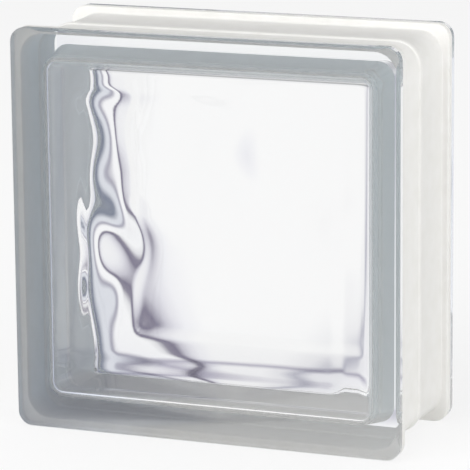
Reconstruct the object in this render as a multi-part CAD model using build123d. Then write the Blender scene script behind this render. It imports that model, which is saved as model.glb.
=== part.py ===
from build123d import *
import math
import os

# Hollow glass block, standing on one edge as it would in a wall.
# X is the width, Y the depth (the front face looks towards -Y) and Z the height.
# The origin is the middle of the underside. All lengths are in millimetres.
#
# Two pressed glass shells are fused at their rims, with a sealed cavity inside.
# Both come out of the same mould, so the back one is the front one turned about.

# Overall module
block_width = 190.0
block_height = 190.0
block_depth = 80.0

# Face plate and the lip around it
face_thickness = 6.6
face_corner_radius = 7.0
face_edge_radius = 1.6
lip_depth = 9.0
lip_back_chamfer = 0.7

# Mortar groove between the two lips
groove_depth = 3.3
groove_corner_radius = 11.0
groove_draft = 0.5
groove_root_chamfer = 1.0

# Seam bead, squeezed out where the shells are fused; half of it on each shell
bead_height = 1.0
bead_half_width = 2.2
bead_shoulder_chamfer = 0.7

# Cavity of one shell, wider at the seam so that the plunger draws out
wall_at_face = 10.0
wall_at_seam = 7.0
cavity_corner_radius = 8.0
cavity_root_radius = 7.0
root_land = 0.5

# Flowing relief, raised on the flat end of the cavity: long swells that cross each other.
# Each swell: height, middle in X and in Z from the block's axis, half length, half width,
# direction from +X in degrees
swells = [
    (2.00, -40.5, -13.0, 23.9, 8.0, 48.0),
    (2.00, -46.6, 0.0, 32.0, 8.5, 133.5),
    (-1.50, -25.3, 13.9, 22.7, 8.5, 100.0),
    (0.80, -44.8, -54.8, 11.0, 9.0, 72.0),
    (1.20, 12.0, 38.0, 36.0, 10.0, 118.0),
]
relief_lift = 0.8
relief_land = 1.0
relief_brim = 0.8
relief_foot = 2.5
relief_run_in = 14.0
relief_samples = 19

shell_depth = block_depth / 2
axis_height = block_height / 2


def slab(y_start, y_end, width, height, radius, narrowing=0.0):
    """A rounded block about the block's axis, narrowed on every side along its way."""
    heading = 1 if y_end > y_start else -1
    plane = Plane(origin=(0, y_start, axis_height), x_dir=(1, 0, 0), z_dir=(0, heading, 0))
    length = abs(y_end - y_start)
    draft = math.degrees(math.atan2(narrowing, length))
    return extrude(plane * RectangleRounded(width, height, radius), length, taper=draft)


def ring_edges(solid, y):
    """The edges of a solid that lie flat at depth y."""
    return solid.edges().filter_by_position(Axis.Y, y - 0.01, y + 0.01)


def inside(edge, width, height):
    """Whether an edge stays within a width and height about the block's axis."""
    room = edge.bounding_box()
    return (
        max(-room.min.X, room.max.X) < width / 2
        and max(axis_height - room.min.Z, room.max.Z - axis_height) < height / 2
    )


def relief(x, z):
    """Height of the swells above the low ground between them."""
    total = 0.0
    for height, middle_x, middle_z, half_length, half_width, direction in swells:
        c, s = math.cos(math.radians(direction)), math.sin(math.radians(direction))
        along = (x - middle_x) * c + (z - middle_z) * s
        across = (z - middle_z) * c - (x - middle_x) * s
        total += height * math.exp(-((along / half_length) ** 2 + (across / half_width) ** 2) / 2)
    return total


def run_in(distance):
    """Rises smoothly from 0 at the relief's border to 1 inside it."""
    share = min(max(distance / relief_run_in, 0.0), 1.0)
    return share * share * (3 - 2 * share)


# Front face, its inner side, and the front end of the groove
front = -shell_depth
inner_face = front + face_thickness
lip_back = front + lip_depth

# Outside: lip, groove floor and half of the seam bead
lip = slab(front, lip_back, block_width, block_height, face_corner_radius)
lip = fillet(ring_edges(lip, front), face_edge_radius)
lip = chamfer(ring_edges(lip, lip_back), lip_back_chamfer)

groove_width = block_width - 2 * groove_depth
groove_height = block_height - 2 * groove_depth
wall = slab(lip_back, 0, groove_width, groove_height, groove_corner_radius, groove_draft)

bead_drop = 2 * (groove_draft - bead_height)
bead = slab(
    0,
    -bead_half_width,
    groove_width - bead_drop,
    groove_height - bead_drop,
    groove_corner_radius + bead_height,
)
bead = chamfer(ring_edges(bead, -bead_half_width), bead_shoulder_chamfer)

body = lip + wall + bead
groove_root = ring_edges(body, lip_back).filter_by(
    lambda edge: inside(edge, block_width - groove_depth, block_height - groove_depth)
)
body = chamfer(groove_root, groove_root_chamfer)

# Cavity: a flat end with a rounded root, and from there on walls that widen to the seam
end_width = groove_width - 2 * wall_at_face
end_height = groove_height - 2 * wall_at_face
root_end = inner_face + cavity_root_radius + root_land
end_room = slab(root_end, inner_face, end_width, end_height, cavity_corner_radius)
end_room = fillet(ring_edges(end_room, inner_face), cavity_root_radius)
drawn_narrowing = wall_at_face - wall_at_seam - groove_draft
drawn_room = slab(
    0,
    root_end,
    groove_width - 2 * (groove_draft + wall_at_seam),
    groove_height - 2 * (groove_draft + wall_at_seam),
    cavity_corner_radius + drawn_narrowing,
    drawn_narrowing,
)

# The relief's sheet starts a little below the flat end, comes up through it and runs above it
half_width = end_width / 2 - cavity_root_radius - relief_land
half_height = end_height / 2 - cavity_root_radius - relief_land
rows = []
for j in range(relief_samples):
    z = half_height * (2 * j / (relief_samples - 1) - 1)
    row = []
    for i in range(relief_samples):
        x = half_width * (2 * i / (relief_samples - 1) - 1)
        share = run_in(half_width - abs(x)) * run_in(half_height - abs(z))
        rise = share * (relief(x, z) + relief_lift) - (1 - share) * relief_brim
        row.append(Vector(x, inner_face + rise, axis_height + z))
    rows.append(row)
relief_sheet = Face.make_surface_from_array_of_points(rows, tol=0.1, max_deg=3)
relief_swell = extrude(relief_sheet, relief_foot, dir=(0, -1, 0))

# One shell, and its twin turned about the vertical axis
front_shell = body - (end_room + drawn_room) + relief_swell
back_shell = front_shell.rotate(Axis.Z, 180)

os.makedirs("parts", exist_ok=True)
for name, shell in (("front_shell", front_shell), ("back_shell", back_shell)):
    shell.label = name
    export_step(shell, f"parts/{name}.step")
    print(name, round(shell.volume / 1000, 1), "cm3")
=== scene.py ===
import math
import bpy
import numpy as np
from mathutils import Matrix, Vector


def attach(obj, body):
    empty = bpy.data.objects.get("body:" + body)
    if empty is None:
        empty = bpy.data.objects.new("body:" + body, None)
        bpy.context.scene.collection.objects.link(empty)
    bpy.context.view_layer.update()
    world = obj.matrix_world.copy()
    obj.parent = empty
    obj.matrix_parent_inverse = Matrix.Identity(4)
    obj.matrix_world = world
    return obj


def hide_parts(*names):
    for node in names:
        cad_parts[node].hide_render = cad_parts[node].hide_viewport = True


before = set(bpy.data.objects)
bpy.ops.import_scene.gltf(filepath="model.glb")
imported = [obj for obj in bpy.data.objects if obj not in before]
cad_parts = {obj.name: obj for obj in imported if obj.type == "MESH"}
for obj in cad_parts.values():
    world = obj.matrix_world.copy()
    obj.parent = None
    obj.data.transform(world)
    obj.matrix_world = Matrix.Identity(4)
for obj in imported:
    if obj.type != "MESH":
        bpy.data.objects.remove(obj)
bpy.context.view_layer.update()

MM = 0.001

# Sizes, in mm
HALF = 95.0
AXIS = 95.0
FRONT = -40.0
FACE_CORNER = 7.0
FACE_EDGE = 1.6
LIP_DEPTH = 9.0
LIP_BACK_EDGE = 0.9
GROOVE_DEPTH = 3.3
GROOVE_CORNER = 11.0
GROOVE_DRAFT = 0.5
GROOVE_ROOT = 1.0
BEAD_HEIGHT = 1.0
BEAD_HALF_WIDTH = 2.2
FACE_THICKNESS = 6.6
WALL_AT_FACE = 10.0
WALL_AT_SEAM = 7.0
CAVITY_CORNER = 8.0
CAVITY_ROOT = 7.0
ROOT_LAND = 0.5
COAT_START = 4.5      # how far behind the face the white edge coating begins

# Flowing relief: height, middle x and z from the axis, half length, half width, direction.
# It isn't the relief of the solids: it differs from theirs by up to 1.8 mm.
SWELLS = [
    (1.45, -40.5, -8.5, 15.0, 8.0, 53.4),
    (1.45, -46.9, -1.3, 12.6, 7.4, 128.5),
    (-1.71, -39.0, 47.0, 27.0, 8.0, 88.4),
    (0.79, -51.8, -32.3, 10.6, 6.6, 96.6),
    (1.90, 12.0, 38.0, 36.0, 8.5, 118.0),
    (1.17, -43.9, 29.4, 10.5, 7.5, 67.4),
    (2.09, -46.7, 71.7, 18.8, 9.0, 117.5),
    (-1.10, -29.4, 9.6, 7.9, 7.5, -26.5),
]
RELIEF_LIFT = 0.8
RELIEF_LAND = 1.0
RELIEF_BRIM = 0.8
RELIEF_RUN_IN = 14.0

SIDE_STEPS = 60
CORNER_STEPS = 8
FLOOR_RINGS = 60
CAP_INSET = 0.3       # an extra ring beside each cap keeps it flat under smooth shading


def ring(y, half, radius):
    """Points of a rounded square at depth y, anticlockwise seen from the front."""
    radius = max(min(radius, half), 0.0)
    out = []
    for k, (sx, sz) in enumerate(((1, -1), (1, 1), (-1, 1), (-1, -1))):
        cx, cz = sx * (half - radius), sz * (half - radius)
        start = -90.0 + 90.0 * k
        for i in range(CORNER_STEPS + 1):
            a = math.radians(start + 90.0 * i / CORNER_STEPS)
            out.append((cx + radius * math.cos(a), y, cz + radius * math.sin(a)))
        nx, nz = ((1, 1), (-1, 1), (-1, -1), (1, -1))[k]
        ex, ez = out[-1][0], out[-1][2]
        tx, tz = nx * (half - radius), nz * (half - radius)
        a = math.radians(start + 90.0)
        fx, fz = tx + radius * math.cos(a), tz + radius * math.sin(a)
        for i in range(1, SIDE_STEPS):
            t = i / SIDE_STEPS
            out.append((ex + (fx - ex) * t, y, ez + (fz - ez) * t))
    return out


def arc(centre_y, centre_in, radius, start, end, steps):
    """(y, inset) pairs along an arc; angle 0 points along +y, 90 towards the outside."""
    out = []
    for i in range(steps + 1):
        a = math.radians(start + (end - start) * i / steps)
        out.append((centre_y + radius * math.cos(a), centre_in - radius * math.sin(a)))
    return out


def run_in(distance):
    share = np.clip(distance / RELIEF_RUN_IN, 0.0, 1.0)
    return share * share * (3 - 2 * share)


def relief_rise(x, z):
    """Rise of the relief over the flat end of the cavity, in mm; 0 outside it."""
    half = HALF - GROOVE_DEPTH - WALL_AT_FACE - CAVITY_ROOT - RELIEF_LAND
    total = RELIEF_LIFT
    for height, x0, z0, half_length, half_width, direction in SWELLS:
        c, s = math.cos(math.radians(direction)), math.sin(math.radians(direction))
        along, across = (x - x0) * c + (z - z0) * s, (z - z0) * c - (x - x0) * s
        total += height * math.exp(-((along / half_length) ** 2 + (across / half_width) ** 2) / 2)
    share = float(run_in(half - abs(x)) * run_in(half - abs(z)))
    return max(share * total - (1 - share) * RELIEF_BRIM, 0.0)


def outer_profile():
    """(y, half width, corner radius) rings from the front cap to the seam."""
    lip_back = FRONT + LIP_DEPTH
    prof = [(FRONT, HALF - FACE_EDGE - CAP_INSET, FACE_CORNER - FACE_EDGE - CAP_INSET)]
    for y, inset in arc(FRONT + FACE_EDGE, FACE_EDGE, FACE_EDGE, 180, 90, 6):
        prof.append((y, HALF - inset, FACE_CORNER - inset))
    prof.append((FRONT + COAT_START - 0.01, HALF, FACE_CORNER))
    prof.append((FRONT + COAT_START, HALF, FACE_CORNER))
    for y, inset in arc(lip_back - LIP_BACK_EDGE, LIP_BACK_EDGE, LIP_BACK_EDGE, 90, 0, 4):
        prof.append((y, HALF - inset, FACE_CORNER - inset))
    root_in = GROOVE_DEPTH - GROOVE_ROOT
    prof.append((lip_back, HALF - root_in, GROOVE_CORNER + GROOVE_ROOT))
    for i in range(1, 5):
        a = math.radians(90.0 * i / 4)
        y = lip_back + GROOVE_ROOT * (1 - math.cos(a))
        inset = root_in + GROOVE_ROOT * math.sin(a)
        prof.append((y, HALF - inset, GROOVE_CORNER + GROOVE_DEPTH - inset))
    wall_inset = GROOVE_DEPTH + GROOVE_DRAFT
    bead_in = wall_inset - BEAD_HEIGHT
    prof.append((-BEAD_HALF_WIDTH - 0.6, HALF - wall_inset + 0.05, GROOVE_CORNER))
    prof.append((-BEAD_HALF_WIDTH, HALF - wall_inset + 0.25, GROOVE_CORNER + 0.2))
    for i in range(1, 5):
        a = math.radians(90.0 * i / 4)
        y = -BEAD_HALF_WIDTH + (BEAD_HALF_WIDTH - 0.3) * (1 - math.cos(a))
        inset = wall_inset - 0.25 - (BEAD_HEIGHT - 0.25) * math.sin(a)
        prof.append((y, HALF - inset, GROOVE_CORNER + wall_inset - inset))
    prof.append((0.0, HALF - bead_in - 0.25, GROOVE_CORNER + BEAD_HEIGHT - 0.25))
    return prof


def inner_profile():
    """(y, half width, corner radius) rings from the seam to the flat end of the cavity."""
    end = FRONT + FACE_THICKNESS
    root_end = end + CAVITY_ROOT + ROOT_LAND
    half_end = HALF - GROOVE_DEPTH - WALL_AT_FACE
    half_seam = HALF - GROOVE_DEPTH - GROOVE_DRAFT - WALL_AT_SEAM
    prof = []
    for i in range(9):
        t = i / 8
        prof.append((root_end * t, half_seam + (half_end - half_seam) * t, CAVITY_CORNER))
    for i in range(9):
        a = math.radians(90.0 * i / 8)
        y = end + CAVITY_ROOT * (1 - math.sin(a))
        half = half_end - CAVITY_ROOT * (1 - math.cos(a))
        prof.append((y, half, CAVITY_CORNER - (half_end - half)))
    return prof


class Surface:
    """Collects rings of points and the quads between them."""

    def __init__(self):
        self.verts, self.faces, self.slots = [], [], []

    def add_ring(self, points):
        start = len(self.verts)
        self.verts += points
        return start

    def bridge(self, a, b, n, slot, flip):
        for i in range(n):
            j = (i + 1) % n
            quad = (a + i, a + j, b + j, b + i)
            self.faces.append(quad[::-1] if flip else quad)
            self.slots.append(slot)

    def cap(self, a, n, slot, flip):
        loop = tuple(range(a, a + n))
        self.faces.append(loop[::-1] if flip else loop)
        self.slots.append(slot)


GLASS, COAT = 0, 1


def build_outer(surface):
    prof = outer_profile()
    back = [(-y, half, r) for y, half, r in prof[-2::-1]]
    whole = prof + back
    starts = []
    for y, half, r in whole:
        pts = [(x, py, z + AXIS) for x, py, z in ring(y, half, r)]
        starts.append(surface.add_ring(pts))
    n = len(ring(0, HALF, 1))
    coat_y = -FRONT - COAT_START + 0.005
    for k in range(len(whole) - 1):
        middle = abs(whole[k][0] + whole[k + 1][0]) / 2
        slot = COAT if middle < coat_y else GLASS
        surface.bridge(starts[k], starts[k + 1], n, slot, True)
    surface.cap(starts[0], n, GLASS, False)
    surface.cap(starts[-1], n, GLASS, True)


def build_cavity(surface):
    prof = inner_profile()
    n = len(ring(0, HALF, 1))
    for side in (1, -1):
        previous = None
        for y, half, r in prof:
            pts = [(side * x, side * py, z + AXIS) for x, py, z in ring(y, half, r)]
            start = surface.add_ring(pts)
            if previous is not None:
                surface.bridge(previous, start, n, GLASS, True)
            previous = start
        y_end, half_end, r_end = prof[-1]
        for k in range(1, FLOOR_RINGS + 1):
            share = 1 - k / FLOOR_RINGS
            half = max(half_end * share, 0.6)
            pts = []
            for x, py, z in ring(y_end, half, r_end * max(share, 0.1)):
                pts.append((side * x, side * (py + relief_rise(x, z)), z + AXIS))
            start = surface.add_ring(pts)
            surface.bridge(previous, start, n, GLASS, True)
            previous = start
        surface.cap(previous, n, GLASS, True)


def make_object(name, surface, materials):
    mesh = bpy.data.meshes.new(name)
    verts = [(x * MM, y * MM, z * MM) for x, y, z in surface.verts]
    mesh.from_pydata(verts, [], surface.faces)
    for material in materials:
        mesh.materials.append(material)
    mesh.polygons.foreach_set("material_index", surface.slots)
    mesh.polygons.foreach_set("use_smooth", [True] * len(surface.faces))
    mesh.update()
    obj = bpy.data.objects.new(name, mesh)
    bpy.context.scene.collection.objects.link(obj)
    return obj


def new_material(name):
    material = bpy.data.materials.new(name)
    material.use_nodes = True
    nodes, links = material.node_tree.nodes, material.node_tree.links
    return material, nodes, links, nodes["Principled BSDF"], nodes["Material Output"]


def add_noise(nodes, links, scale, detail):
    """Noise in the object's own space, where a metre is one unit."""
    coords = nodes.new("ShaderNodeTexCoord")
    noise = nodes.new("ShaderNodeTexNoise")
    noise.inputs["Scale"].default_value = scale
    noise.inputs["Detail"].default_value = detail
    links.new(coords.outputs["Object"], noise.inputs["Vector"])
    return noise.outputs["Fac"]


def glass_material():
    material, nodes, links, shader, output = new_material("clear_glass")
    shader.inputs["Base Color"].default_value = (1.0, 1.0, 1.0, 1.0)
    shader.inputs["Roughness"].default_value = 0.0
    shader.inputs["IOR"].default_value = 1.52
    shader.inputs["Transmission Weight"].default_value = 1.0
    # Pressed glass is never quite even
    ripple = add_noise(nodes, links, 35.0, 2.0)
    bump = nodes.new("ShaderNodeBump")
    bump.inputs["Strength"].default_value = 0.15
    bump.inputs["Distance"].default_value = 0.0004
    links.new(ripple, bump.inputs["Height"])
    links.new(bump.outputs["Normal"], shader.inputs["Normal"])
    volume = nodes.new("ShaderNodeVolumeAbsorption")
    volume.inputs["Color"].default_value = (0.76, 0.85, 0.89, 1.0)
    volume.inputs["Density"].default_value = 1.8
    links.new(volume.outputs["Volume"], output.inputs["Volume"])
    return material


def coat_material():
    material, nodes, links, shader, output = new_material("edge_coating")
    shader.inputs["Base Color"].default_value = (0.94, 0.93, 0.90, 1.0)
    shader.inputs["Roughness"].default_value = 0.55
    # Rolled-on paint: a faintly mottled tone and a fine grain
    tone = nodes.new("ShaderNodeValToRGB")
    tone.color_ramp.elements[0].position, tone.color_ramp.elements[1].position = 0.35, 0.65
    tone.color_ramp.elements[0].color = (0.91, 0.90, 0.86, 1.0)
    tone.color_ramp.elements[1].color = (0.95, 0.94, 0.91, 1.0)
    links.new(add_noise(nodes, links, 120.0, 4.0), tone.inputs["Fac"])
    links.new(tone.outputs["Color"], shader.inputs["Base Color"])
    grain = nodes.new("ShaderNodeBump")
    grain.inputs["Strength"].default_value = 0.3
    grain.inputs["Distance"].default_value = 0.0002
    links.new(add_noise(nodes, links, 900.0, 3.0), grain.inputs["Height"])
    links.new(grain.outputs["Normal"], shader.inputs["Normal"])
    thin = nodes.new("ShaderNodeBsdfTranslucent")
    thin.inputs["Color"].default_value = (0.95, 0.95, 0.95, 1.0)
    mixed = nodes.new("ShaderNodeMixShader")
    mixed.inputs["Fac"].default_value = 0.3
    links.new(shader.outputs[0], mixed.inputs[1])
    links.new(thin.outputs[0], mixed.inputs[2])
    links.new(mixed.outputs[0], output.inputs["Surface"])
    return material


clear_glass = glass_material()
edge_coating = coat_material()

surface = Surface()
build_outer(surface)
build_cavity(surface)
block = make_object("fused_block", surface, [clear_glass, edge_coating])
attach(block, "root")
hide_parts("front_shell", "back_shell")

STUDIO_TURN = 21.5    # heading of the studio's axis, in degrees from +Y towards -X

# Painted reflection: what only glass shows of a made-up studio of dark and light bands, by heading
# from that axis and by height, in degrees.
# The camera itself sees a plain white studio. The dark stops are guesses.
PAINTED_REFLECTION_SIDEWAYS = [
    (-180.0, (1.0, 1.0, 1.0)),
    (-120.0, (1.0, 1.0, 1.0)),
    (-98.0, (0.85, 0.90, 1.0)),
    (-85.0, (0.20, 0.22, 0.30)),
    (-45.0, (0.12, 0.14, 0.22)),
    (-36.0, (0.70, 0.72, 0.78)),
    (-31.0, (0.70, 0.72, 0.78)),
    (-27.0, (0.30, 0.29, 0.38)),
    (-22.0, (0.93, 0.93, 0.95)),
    (-14.5, (0.95, 0.95, 0.96)),
    (-12.5, (0.14, 0.12, 0.20)),
    (-11.0, (0.14, 0.12, 0.20)),
    (-9.5, (0.66, 0.65, 0.72)),
    (-7.0, (0.86, 0.86, 0.89)),
    (-4.0, (0.94, 0.94, 0.94)),
    (12.0, (0.93, 0.93, 0.93)),
    (20.0, (0.80, 0.80, 0.82)),
    (27.0, (0.42, 0.42, 0.50)),
    (34.0, (0.80, 0.80, 0.83)),
    (60.0, (0.92, 0.92, 0.94)),
    (90.0, (1.0, 1.0, 1.0)),
    (180.0, (1.0, 1.0, 1.0)),
]
PAINTED_REFLECTION_BEHIND = [
    (-180.0, (0.0, 0.0, 0.0)),
    (-80.0, (0.0, 0.0, 0.0)),
    (-60.0, (1.0, 1.0, 1.0)),
    (60.0, (1.0, 1.0, 1.0)),
    (80.0, (0.0, 0.0, 0.0)),
    (180.0, (0.0, 0.0, 0.0)),
]
PAINTED_REFLECTION_UPWARDS = [
    (-90.0, (0.92, 0.92, 0.92)),
    (-60.0, (0.95, 0.95, 0.96)),
    (-52.0, (0.90, 0.90, 0.92)),
    (-46.0, (0.42, 0.40, 0.50)),
    (-40.0, (0.96, 0.96, 0.97)),
    (-25.0, (1.0, 1.0, 1.0)),
    (-3.0, (1.0, 1.0, 1.0)),
    (3.0, (0.42, 0.42, 0.46)),
    (12.0, (0.36, 0.37, 0.36)),
    (25.0, (0.60, 0.60, 0.60)),
    (45.0, (0.90, 0.90, 0.90)),
    (90.0, (1.0, 1.0, 1.0)),
]


def add_math(nodes, links, operation, *values):
    node = nodes.new("ShaderNodeMath")
    node.operation = operation
    for socket, value in zip(node.inputs, values):
        if isinstance(value, (int, float)):
            socket.default_value = value
        else:
            links.new(value, socket)
    return node.outputs[0]


def add_ramp(nodes, links, value, stops):
    """Colour by an angle in degrees; the stops lie between the first and the last angle."""
    low, high = stops[0][0], stops[-1][0]
    share = add_math(nodes, links, "SUBTRACT", value, low)
    share = add_math(nodes, links, "DIVIDE", share, high - low)
    ramp = nodes.new("ShaderNodeValToRGB")
    elements = ramp.color_ramp.elements
    while len(elements) < len(stops):
        elements.new(0.5)
    for element, (degrees, colour) in zip(elements, stops):
        element.position = (degrees - low) / (high - low)
        element.color = (*colour, 1.0)
    links.new(share, ramp.inputs["Fac"])
    return ramp.outputs["Color"]


def add_painted_reflection(nodes, links, direction):
    """Colour of the painted reflection, the made-up studio that glass shows, in a direction."""
    c, s = math.cos(math.radians(STUDIO_TURN)), math.sin(math.radians(STUDIO_TURN))
    parts = []
    for axis in ((c, s, 0.0), (-s, c, 0.0), (0.0, 0.0, 1.0)):
        dot = nodes.new("ShaderNodeVectorMath")
        dot.operation = "DOT_PRODUCT"
        links.new(direction, dot.inputs[0])
        dot.inputs[1].default_value = axis
        parts.append(dot.outputs["Value"])
    turned = add_math(nodes, links, "ARCTAN2", parts[0], parts[1])
    risen = add_math(nodes, links, "ARCSINE", parts[2])
    sideways = add_math(nodes, links, "DEGREES", turned)
    upwards = add_math(nodes, links, "DEGREES", risen)
    behind = nodes.new("ShaderNodeMix")
    behind.data_type = "RGBA"
    links.new(add_ramp(nodes, links, sideways, PAINTED_REFLECTION_BEHIND), behind.inputs[0])
    behind.inputs[6].default_value = (1.0, 1.0, 1.0, 1.0)
    links.new(add_ramp(nodes, links, upwards, PAINTED_REFLECTION_UPWARDS), behind.inputs[7])
    both = nodes.new("ShaderNodeMix")
    both.data_type, both.blend_type = "RGBA", "MULTIPLY"
    both.inputs[0].default_value = 1.0
    links.new(add_ramp(nodes, links, sideways, PAINTED_REFLECTION_SIDEWAYS), both.inputs[6])
    links.new(behind.outputs[2], both.inputs[7])
    return both.outputs[2]


def mix_shaders(nodes, links, share, first, second):
    node = nodes.new("ShaderNodeMixShader")
    links.new(share, node.inputs["Fac"])
    links.new(first, node.inputs[1])
    links.new(second, node.inputs[2])
    return node.outputs[0]


# Floor: a plain pale sheet that keeps the block's shadow. Through glass it glows with the painted
# reflection bands.
FLOOR_HALF = 3.0      # metres
FLOOR_DROP = 0.0002   # metres
FLOOR_GLOW = 0.75     # share of plain white that the camera sees in it
AMBIENT = 0.55
floor_mesh = bpy.data.meshes.new("floor")
corners = [(sx * FLOOR_HALF, sy * FLOOR_HALF, 0) for sx, sy in ((-1, -1), (1, -1), (1, 1), (-1, 1))]
floor_mesh.from_pydata(corners, [], [(0, 1, 2, 3)])
material, nodes, links, shader, output = new_material("floor")
shader.inputs["Base Color"].default_value = (0.9, 0.9, 0.9, 1.0)
shader.inputs["Roughness"].default_value = 0.9
path = nodes.new("ShaderNodeLightPath")
place = nodes.new("ShaderNodeNewGeometry")
offset = nodes.new("ShaderNodeVectorMath")
offset.operation = "SUBTRACT"
links.new(place.outputs["Position"], offset.inputs[0])
offset.inputs[1].default_value = (0.0, 0.0, AXIS * MM)
unit = nodes.new("ShaderNodeVectorMath")
unit.operation = "NORMALIZE"
links.new(offset.outputs[0], unit.inputs[0])
glow = nodes.new("ShaderNodeEmission")
glow.inputs["Strength"].default_value = 1.0
# Painted reflection: seen through glass, the floor glows with the made-up studio's dark and light
# bands
painted_reflection_glow = nodes.new("ShaderNodeEmission")
painted_reflection_glow.inputs["Strength"].default_value = 1.0
links.new(add_painted_reflection(nodes, links, unit.outputs[0]), painted_reflection_glow.inputs["Color"])
camera_share = add_math(nodes, links, "MULTIPLY", path.outputs["Is Camera Ray"], FLOOR_GLOW)
seen_floor = mix_shaders(nodes, links, camera_share, shader.outputs[0], glow.outputs[0])
glassy = add_math(
    nodes, links, "MAXIMUM", path.outputs["Is Transmission Ray"], path.outputs["Is Glossy Ray"]
)
whole = mix_shaders(nodes, links, glassy, seen_floor, painted_reflection_glow.outputs[0])
links.new(whole, output.inputs["Surface"])
floor_mesh.materials.append(material)
floor = bpy.data.objects.new("floor", floor_mesh)
floor.location = (0, 0, -FLOOR_DROP)
bpy.context.scene.collection.objects.link(floor)

# World: white to the camera, the painted reflection bands through glass, an even soft light for the
# rest
world = bpy.data.worlds.new("studio")
bpy.context.scene.world = world
world.use_nodes = True
nodes, links = world.node_tree.nodes, world.node_tree.links
nodes.clear()
output = nodes.new("ShaderNodeOutputWorld")
path = nodes.new("ShaderNodeLightPath")
coords = nodes.new("ShaderNodeTexCoord")
plain, through, ambient = (nodes.new("ShaderNodeBackground") for _ in range(3))
plain.inputs["Color"].default_value = (1.0, 1.0, 1.0, 1.0)
ambient.inputs["Color"].default_value = (1.0, 1.0, 1.0, 1.0)
ambient.inputs["Strength"].default_value = AMBIENT
# Painted reflection: dark and light bands that only glass shows; the camera and the diffuse light
# don't see them
links.new(add_painted_reflection(nodes, links, coords.outputs["Generated"]), through.inputs["Color"])
glassy = add_math(
    nodes, links, "MAXIMUM", path.outputs["Is Transmission Ray"], path.outputs["Is Glossy Ray"]
)
inner = mix_shaders(nodes, links, glassy, ambient.outputs[0], through.outputs[0])
whole = mix_shaders(nodes, links, path.outputs["Is Camera Ray"], inner, plain.outputs[0])
links.new(whole, output.inputs["Surface"])


def add_lamp(name, place, side, power):
    """A soft square lamp that faces the middle of the block; glass doesn't show it."""
    lamp = bpy.data.lights.new(name, "AREA")
    lamp.shape, lamp.size, lamp.energy = "SQUARE", side, power
    obj = bpy.data.objects.new(name, lamp)
    obj.location = place
    away = Vector(place) - Vector((0, 0, AXIS * MM))
    obj.rotation_euler = away.to_track_quat("Z", "Y").to_euler()
    obj.visible_glossy = False
    obj.visible_transmission = False
    bpy.context.scene.collection.objects.link(obj)


add_lamp("key", (-1.1, -2.0, 0.9), 3.0, 66.0)
add_lamp("fill", (1.9, -0.9, 0.8), 2.0, 30.0)

# Camera: angles in degrees, focal length in pixels of the picture, place in mm
CAM_AZ, CAM_EL, CAM_ROLL = 21.5, 12.58, -0.53
CAM_F, CAM_TX, CAM_TZ, CAM_D = 3362.0, 0.45, -4.54, 1571.7
IMAGE = 470.0
SENSOR = 36.0

az, el, roll = (math.radians(v) for v in (CAM_AZ, CAM_EL, CAM_ROLL))
back = Vector((math.sin(az) * math.cos(el), -math.cos(az) * math.cos(el), math.sin(el)))
right0 = Vector((math.cos(az), math.sin(az), 0.0))
up0 = right0.cross(-back)
right = math.cos(roll) * right0 + math.sin(roll) * up0
up = -math.sin(roll) * right0 + math.cos(roll) * up0
place = Vector((0, 0, AXIS)) + CAM_D * back + CAM_TX * right + CAM_TZ * up
camera_data = bpy.data.cameras.new("camera")
camera_data.sensor_width = SENSOR
camera_data.lens = CAM_F / IMAGE * SENSOR
camera_data.clip_start, camera_data.clip_end = 0.05, 50.0
camera = bpy.data.objects.new("camera", camera_data)
camera.matrix_world = Matrix(
    (
        (right.x, up.x, back.x, place.x * MM),
        (right.y, up.y, back.y, place.y * MM),
        (right.z, up.z, back.z, place.z * MM),
        (0, 0, 0, 1),
    )
)
bpy.context.scene.collection.objects.link(camera)
bpy.context.scene.camera = camera

scene = bpy.context.scene
scene.view_settings.view_transform = "Standard"

# Light bounces many times between the coated walls inside the glass
scene.cycles.max_bounces = 32
scene.cycles.diffuse_bounces = 16
scene.cycles.glossy_bounces = 16
scene.cycles.transmission_bounces = 32
